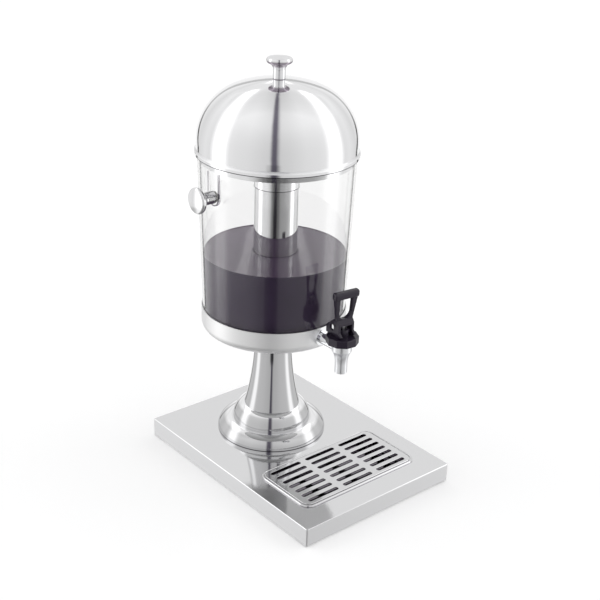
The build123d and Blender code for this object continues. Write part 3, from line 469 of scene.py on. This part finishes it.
# Bonnet and lever: black ABS, injection moulded; the bonnet is screwed on the body and the lever
# hangs on a pin with black oxide. The mould's fine spark grain gives a dull sheen, and edges catch
# a thin light line.
abs_gloss = {"Roughness": 0.25, "IOR": 1.53, "Specular IOR Level": 0.4}
tap_abs = grained("abs_moulded_black", "#221c28", "#2b2432", 0.7, abs_gloss, relief=0.06)
dress(tap_abs, "tap_bonnet", "tap_lever")
pin_steel = belted_steel("steel_black_oxide", "#2a282c", rough=0.35, stretch=no_grain)
dress(pin_steel, "lever_pin")
dress(turned_steel, "tap_plunger", "tap_spring")

# Tap spring: a coil of drawn stainless wire round the plunger, its end turns closed, squeezed
# between the stopper and the tower's roof. On the tap it shortens as the lever lifts the plunger;
# here it is made at rest and rides with the stand. Drawn wire has a dull shine.
wire_radius, wire_segments = 0.0007, 10
free_turns = 3
steps_each_turn = 36
coil_low, coil_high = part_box("tap_spring")
coil_x, coil_y = (coil_low[0] + coil_high[0]) / 2, (coil_low[1] + coil_high[1]) / 2
coil_radius = (coil_high[0] - coil_low[0]) / 2 - wire_radius
coil_height = coil_high[2] - coil_low[2]
closed_pitch = 2 * wire_radius
# Two closed turns and one thickness of wire come off the height.
free_pitch = (coil_height - 3 * closed_pitch) / free_turns
mesh = bmesh.new()
wire_start = Matrix.Translation((coil_x + coil_radius, coil_y, coil_low[2] + wire_radius))
bmesh.ops.create_circle(
    mesh, cap_ends=True, segments=wire_segments, radius=wire_radius,
    matrix=wire_start @ Matrix.Rotation(pi / 2, 4, "X"),
)
wound = mesh.verts[:] + mesh.edges[:] + mesh.faces[:]
for turns, pitch in ((1, closed_pitch), (free_turns, free_pitch), (1, closed_pitch)):
    wound = bmesh.ops.spin(
        mesh, geom=wound, cent=(coil_x, coil_y, 0), axis=(0, 0, 1),
        dvec=(0, 0, pitch / steps_each_turn), angle=2 * pi * turns, steps=turns * steps_each_turn,
    )["geom_last"]
bmesh.ops.remove_doubles(mesh, verts=mesh.verts, dist=tiny)
bmesh.ops.recalc_face_normals(mesh, faces=mesh.faces)
# The wire's two cut ends stay flat.
for face in mesh.faces:
    face.smooth = len(face.verts) < wire_segments
coil_data = bpy.data.meshes.new("tap_spring_coil")
mesh.to_mesh(coil_data)
mesh.free()
coil = bpy.data.objects.new("tap_spring_coil", coil_data)
bpy.context.collection.objects.link(coil)
coil_data.materials.append(mirror_steel("stainless_wire_drawn", "#c4c4c6", rough=0.25))
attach(coil, "stand")
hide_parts("tap_spring")
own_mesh(coil)

# Side knob: turned from stainless bar and buffed, screwed to the pad from inside the tank with a
# seal between. It mirrors the tent with clean edges.
knob_steel = mirror_steel("stainless_bar_buffed", "#ebebec", rough=0.05)
dress(knob_steel, "side_knob")
dress(turned_steel, "side_knob_screw")

# Lid: a dome spun from stainless sheet with a rolled bead, a ring welded inside that centres it on
# the tank, and a turned knob held by a screw. The buffing wheel can't reach the root above the
# bead, which stays satin, and it leaves a ripple about 30 mm long and haze over about 45 mm.
root_middle_z, root_half_height = 0.4516, 0.0019
root_satin = 0.25
bead_edge_z = 0.4464
lid_rough, haze_spread = 0.075, 0.05
ripple_mm, haze_mm = 30, 45
ripple_depth = 0.0005
lid_steel, tree = new_finish("stainless_spun_buffed")
place = put(tree, "ShaderNodeTexCoord").outputs["Object"]
at = put(tree, "ShaderNodeSeparateXYZ", links={"Vector": place})
root = put(
    tree, "ShaderNodeMath", {"operation": "COMPARE", 1: root_middle_z, 2: root_half_height},
    {0: at.outputs["Z"]},
)
haze = put(tree, "ShaderNodeTexNoise", {"Scale": 1000 / haze_mm, "Detail": 3.0}, {"Vector": place})
buffed = put(
    tree, "ShaderNodeMath",
    {"operation": "MULTIPLY_ADD", 1: haze_spread, 2: lid_rough - haze_spread / 2},
    {0: haze.outputs["Fac"]},
)
polish = put(
    tree, "ShaderNodeMath", {"operation": "MULTIPLY_ADD", 1: root_satin},
    {0: root.outputs[0], 2: buffed.outputs[0]},
)
ripple = put(
    tree, "ShaderNodeTexNoise", {"Scale": 1000 / ripple_mm, "Detail": 1.0}, {"Vector": place}
)
bump = put(
    tree, "ShaderNodeBump", {"Strength": 0.01, "Distance": ripple_depth},
    {"Height": ripple.outputs["Fac"]},
)
# Below the bead's lower edge the dome is painted dark: a painted shadow line where the lid meets
# the tank.
steel = put(
    tree, "ShaderNodeBsdfPrincipled", {"Metallic": 1.0},
    {
        "Base Color": edge_tint(tree, place, "#eeeeef", "#4a4550", bead_edge_z),
        "Roughness": polish.outputs[0], "Normal": bump.outputs[0],
    },
)
put(tree, "ShaderNodeOutputMaterial", links={"Surface": steel.outputs[0]})
dress(lid_steel, "lid_dome")
dress(tube_steel, "lid_skirt")
# The knob's bands are painted: a painted shadow line at its foot on the dome and painted shade in
# the throat under the cap.
knob_foot_z, knob_height = 0.5448, 0.0293
knob_foot, knob_wall, knob_painted_shade = "#6b646d", "#ebebec", "#9d959e"
knob_bands = [
    (0.0, knob_foot), (0.05, knob_wall), (0.5, knob_wall), (0.64, knob_painted_shade), (0.8, knob_painted_shade),
    (0.87, knob_wall),
]
crowned_steel = banded_steel(
    "stainless_bar_turned_crown", knob_foot_z, knob_height, knob_bands, rough=0.06, crown_satin=0.35
)
dress(crowned_steel, "lid_knob")
dress(turned_steel, "lid_knob_washer", "lid_knob_screw")

# Drip tray and grille: pressed from stainless sheet; the tray drops into the base, and the grille,
# punched with round-ended slots, lies on the tray's ledge. Both are buffed, and are painted darker
# where they go down into the base: painted shade in the pan and the slots.
tray_line_z, grille_line_z = 0.0282, 0.0293
belt_along_x = (0.02, 1.0, 1.0)
tray_steel = belted_steel(
    "stainless_pressed_painted_shade", "#dcdcdd", rough=0.09, stretch=belt_along_x,
    low_colour="#77727a", low_z=tray_line_z,
)
dress(tray_steel, "drip_tray")
grille_steel = belted_steel(
    "stainless_punched_buffed", "#dcdcdd", rough=0.09, stretch=belt_along_x,
    low_colour="#6a656d", low_z=grille_line_z,
)
dress(grille_steel, "drip_grille")

# Studio: a white tent with two long strip lamps overhead that run away from the front left corner,
# a dark gap between the cloths in line with that corner, a plain white back wall, and a ceiling and
# floor in shade. Directions are unit vectors, and heights are their z.
strip_run = (-0.6326, -0.7745, 0.0)
strip_side = (0.7745, -0.6326, 0.0)
far_end = (0.6079, 0.7443, -0.276)
# Seen from above, the cloths fan out from a point this far behind the object, and the angles are
# counted round it.
fan_back = 0.96
quarter_turn = 90
# Brightness of the cloths by angle: the lamps are at 2, and the gap is under 0.2.
tent_degrees = [
    (-90, 1.1), (-80, 1.1), (-70, 0.91), (-60, 1.05), (-54, 1.0), (-51, 1.3), (-48, 2.0),
    (-41, 2.0), (-37.5, 1.25), (-35, 1.05), (-30, 1.0), (-20, 0.96), (-10, 0.86), (-5.2, 0.82),
    (-3.4, 0.17), (-0.6, 0.16), (2.2, 0.8), (10, 0.86), (20, 0.96), (30, 1.0), (35, 1.05),
    (37.5, 1.25), (41, 2.0), (48, 2.0), (51, 1.3), (54, 1.0), (60, 1.05), (70, 0.91), (80, 1.1),
    (90, 1.1),
]
# How much of it is left by height, and on the ceiling behind the object.
shade = [
    (-1, 0.3), (-0.87, 0.3), (-0.64, 0.5), (-0.46, 0.55), (-0.42, 0.81), (-0.36, 0.85),
    (0.1, 0.86), (0.42, 0.9), (0.63, 0.96), (0.78, 1.02), (0.94, 1.06), (1, 1.04),
]
ceiling_run = [(-0.4, 0.84), (-0.1, 0.91), (0.1, 1.0)]
ceiling_height = [(0.55, 0.0), (0.7, 1.0)]
# Low down the gap is a little wider.
low_gap_degrees = [(-8, 1.0), (-6.5, 0.25), (1.5, 0.25), (3.5, 1.0)]
low_gap_height = [(-0.34, 1.0), (-0.3, 0.0)]
# Where the back wall lies, by height and by how far behind; then the far end's cloth, which has a
# dark hem.
back_height = [(0.43, 0.0), (0.46, 1.0), (0.60, 1.0), (0.64, 0.0)]
back_run = [(0.77, 0.0), (0.80, 1.0)]
back_level = 0.9
far_share = [(0.808, 0.0), (0.82, 1.0)]
far_level = [(0.868, 0.1), (0.878, 1.0)]
far_height = [(-0.12, 1.0), (0.1, 0.45)]
# What is left of it, by angle, for light that has come through the tank's wall.
inside_degrees = [
    (-22, 1.0), (-16, 0.8), (-10, 0.27), (-5, 0.28), (-3.4, 0.6), (-0.6, 0.6), (2, 0.25), (6, 0.2),
    (10, 0.41), (27, 0.45), (38, 0.7), (41, 1.0),
]
# Ray depths are whole numbers: above this, a ray has gone through or bounced at least once.
at_least_once = 0.5
gap_tint, gap_limit = (0.9, 0.83, 1.05), 0.5


def grey(level):
    """Neutral colour of a brightness."""
    return (level, level, level, 1.0)


def tent_cloth(level):
    """The dark gap between the cloths is a little purple."""
    if level < gap_limit:
        return (*(part * level for part in gap_tint), 1.0)
    return grey(level)


def spread(levels, limit, paint=grey):
    """Ramp stops for a value that runs from -limit to limit."""
    return [(0.5 + value / (2 * limit), paint(level)) for value, level in levels]


def rising(levels):
    """Ramp stops for a value that runs from 0 to 1."""
    return [(value, grey(level)) for value, level in levels]


world = bpy.data.worlds.new("white_tent")
bpy.context.scene.world = world
world.use_nodes = True
tree = world.node_tree
tree.nodes.clear()
sight = put(tree, "ShaderNodeTexCoord").outputs["Generated"]
run = put(tree, "ShaderNodeVectorMath", {"operation": "DOT_PRODUCT", 1: strip_run}, {0: sight})
side = put(tree, "ShaderNodeVectorMath", {"operation": "DOT_PRODUCT", 1: strip_side}, {0: sight})
ahead = put(tree, "ShaderNodeMath", {"operation": "ADD", 1: fan_back}, {0: run.outputs["Value"]})
turn = put(
    tree, "ShaderNodeMath", {"operation": "ARCTAN2"},
    {0: side.outputs["Value"], 1: ahead.outputs[0]},
)
# Ramps run from 0 to 1, so angles and signed heights are brought into that range.
angle = put(
    tree, "ShaderNodeMath", {"operation": "MULTIPLY_ADD", 1: 1 / pi, 2: 0.5}, {0: turn.outputs[0]}
)
strips = put(
    tree, "ShaderNodeValToRGB", {"stops": spread(tent_degrees, quarter_turn, tent_cloth)},
    {"Fac": angle.outputs[0]},
)
inside = put(
    tree, "ShaderNodeValToRGB", {"stops": spread(inside_degrees, quarter_turn)},
    {"Fac": angle.outputs[0]},
)
split = put(tree, "ShaderNodeSeparateXYZ", links={"Vector": sight})
height = put(
    tree, "ShaderNodeMath", {"operation": "MULTIPLY_ADD", 1: 0.5, 2: 0.5}, {0: split.outputs["Z"]}
)
shaded = put(
    tree, "ShaderNodeValToRGB", {"stops": spread(shade, 1)}, {"Fac": height.outputs[0]}
)
walls = put(
    tree, "ShaderNodeMix", {"data_type": "RGBA", "blend_type": "MULTIPLY", mix_share: 1.0},
    {mix_a: strips.outputs["Color"], mix_b: shaded.outputs["Color"]},
)
run_share = put(
    tree, "ShaderNodeMath", {"operation": "MULTIPLY_ADD", 1: 0.5, 2: 0.5}, {0: run.outputs["Value"]}
)
ceiling = put(
    tree, "ShaderNodeValToRGB", {"stops": spread(ceiling_run, 1)}, {"Fac": run_share.outputs[0]}
)
overhead = put(
    tree, "ShaderNodeValToRGB", {"stops": rising(ceiling_height)}, {"Fac": split.outputs["Z"]}
)
covered = put(
    tree, "ShaderNodeMix", {"data_type": "RGBA", "blend_type": "MULTIPLY"},
    {
        mix_share: overhead.outputs["Color"],
        mix_a: walls.outputs[mix_out], mix_b: ceiling.outputs["Color"],
    },
)
low_gap = put(
    tree, "ShaderNodeValToRGB", {"stops": spread(low_gap_degrees, quarter_turn)},
    {"Fac": angle.outputs[0]},
)
low = put(
    tree, "ShaderNodeValToRGB", {"stops": spread(low_gap_height, 1)}, {"Fac": height.outputs[0]}
)
gapped = put(
    tree, "ShaderNodeMix", {"data_type": "RGBA", "blend_type": "MULTIPLY"},
    {
        mix_share: low.outputs["Color"],
        mix_a: covered.outputs[mix_out], mix_b: low_gap.outputs["Color"],
    },
)
high = put(
    tree, "ShaderNodeValToRGB", {"stops": rising(back_height)}, {"Fac": split.outputs["Z"]}
)
behind = put(tree, "ShaderNodeMath", {"operation": "MULTIPLY", 1: -1.0}, {0: run.outputs["Value"]})
back = put(tree, "ShaderNodeValToRGB", {"stops": rising(back_run)}, {"Fac": behind.outputs[0]})
back_wall = put(
    tree, "ShaderNodeMath", {"operation": "MULTIPLY"},
    {0: high.outputs["Color"], 1: back.outputs["Color"]},
)
tent = put(
    tree, "ShaderNodeMix", {"data_type": "RGBA", mix_b: grey(back_level)},
    {mix_share: back_wall.outputs[0], mix_a: gapped.outputs[mix_out]},
)
away = put(tree, "ShaderNodeVectorMath", {"operation": "DOT_PRODUCT", 1: far_end}, {0: sight})
far_mask = put(
    tree, "ShaderNodeValToRGB", {"stops": rising(far_share)}, {"Fac": away.outputs["Value"]}
)
far_fade = put(
    tree, "ShaderNodeValToRGB", {"stops": spread(far_height, 1)}, {"Fac": height.outputs[0]}
)
far = put(
    tree, "ShaderNodeMath", {"operation": "MULTIPLY"},
    {0: far_mask.outputs["Color"], 1: far_fade.outputs["Color"]},
)
far_cloth = put(
    tree, "ShaderNodeValToRGB", {"stops": rising(far_level)}, {"Fac": away.outputs["Value"]}
)
whole = put(
    tree, "ShaderNodeMix", {"data_type": "RGBA"},
    {
        mix_share: far.outputs[0],
        mix_a: tent.outputs[mix_out], mix_b: far_cloth.outputs["Color"],
    },
)
path = put(tree, "ShaderNodeLightPath")
through = put(
    tree, "ShaderNodeMath", {"operation": "GREATER_THAN", 1: at_least_once},
    {0: path.outputs["Transmission Depth"]},
)
dimmed = put(
    tree, "ShaderNodeMix", {"data_type": "RGBA", "blend_type": "MULTIPLY"},
    {
        mix_share: through.outputs[0],
        mix_a: whole.outputs[mix_out], mix_b: inside.outputs["Color"],
    },
)
unbounced = put(
    tree, "ShaderNodeMath", {"operation": "LESS_THAN", 1: at_least_once},
    {0: path.outputs["Glossy Depth"]},
)
through_tank = put(
    tree, "ShaderNodeMath", {"operation": "MULTIPLY"},
    {0: path.outputs["Is Transmission Ray"], 1: unbounced.outputs[0]},
)
seen = put(
    tree, "ShaderNodeMath", {"operation": "MAXIMUM"},
    {0: path.outputs["Is Camera Ray"], 1: through_tank.outputs[0]},
)
backdrop = put(
    tree, "ShaderNodeMix", {"data_type": "RGBA", mix_b: grey(1.0)},
    {mix_share: seen.outputs[0], mix_a: dimmed.outputs[mix_out]},
)
cloth = put(
    tree, "ShaderNodeBackground", {"Strength": 1.0}, {"Color": backdrop.outputs[mix_out]}
)
put(tree, "ShaderNodeOutputWorld", links={"Surface": cloth.outputs[0]})

# Floor: a sheet of matt white board under the object, which takes its shadow. The camera sees it a
# little lifted, so that it runs into the white of the tent.
floor_half_width = 6.0
floor_lift = 0.2
mesh = bmesh.new()
bmesh.ops.create_grid(mesh, x_segments=1, y_segments=1, size=floor_half_width)
floor_data = bpy.data.meshes.new("floor")
mesh.to_mesh(floor_data)
mesh.free()
floor = bpy.data.objects.new("floor", floor_data)
bpy.context.collection.objects.link(floor)
floor.visible_glossy = False
floor.visible_transmission = False
floor_board, tree = new_finish("white_board_matt")
board = put(tree, "ShaderNodeBsdfDiffuse", {"Color": linear("#f2f2f2")})
path = put(tree, "ShaderNodeLightPath")
seen = put(
    tree, "ShaderNodeMath", {"operation": "MAXIMUM"},
    {0: path.outputs["Is Camera Ray"], 1: path.outputs["Is Transmission Ray"]},
)
lift = put(tree, "ShaderNodeMath", {"operation": "MULTIPLY", 1: floor_lift}, {0: seen.outputs[0]})
glow = put(tree, "ShaderNodeEmission", {"Color": grey(1.0)}, {"Strength": lift.outputs[0]})
both = put(tree, "ShaderNodeAddShader", links={0: board.outputs[0], 1: glow.outputs[0]})
put(tree, "ShaderNodeOutputMaterial", links={"Surface": both.outputs[0]})
floor_data.materials.append(floor_board)

# Camera: a 70.5 mm lens on a 36 mm sensor, 1.7 m away, from the front left and above, and held
# slightly askew.
lens_mm, sensor_mm = 70.5, 36.0
sight_limit = 50.0
eye_place = (-0.95463, -1.10896, 0.91354)
heading_degrees, down_degrees, roll_degrees = -40.63, 24.37, 1.89
lens = bpy.data.cameras.new("camera")
lens.lens = lens_mm
lens.sensor_width = sensor_mm
lens.clip_end = sight_limit
eye = bpy.data.objects.new("camera", lens)
bpy.context.collection.objects.link(eye)
heading = Matrix.Rotation(radians(heading_degrees), 4, "Z")
tilt = Matrix.Rotation(radians(90 - down_degrees), 4, "X")
roll = Matrix.Rotation(radians(roll_degrees), 4, "Z")
eye.matrix_world = Matrix.Translation(eye_place) @ heading @ tilt @ roll
bpy.context.scene.camera = eye
bpy.context.scene.view_settings.view_transform = "Standard"
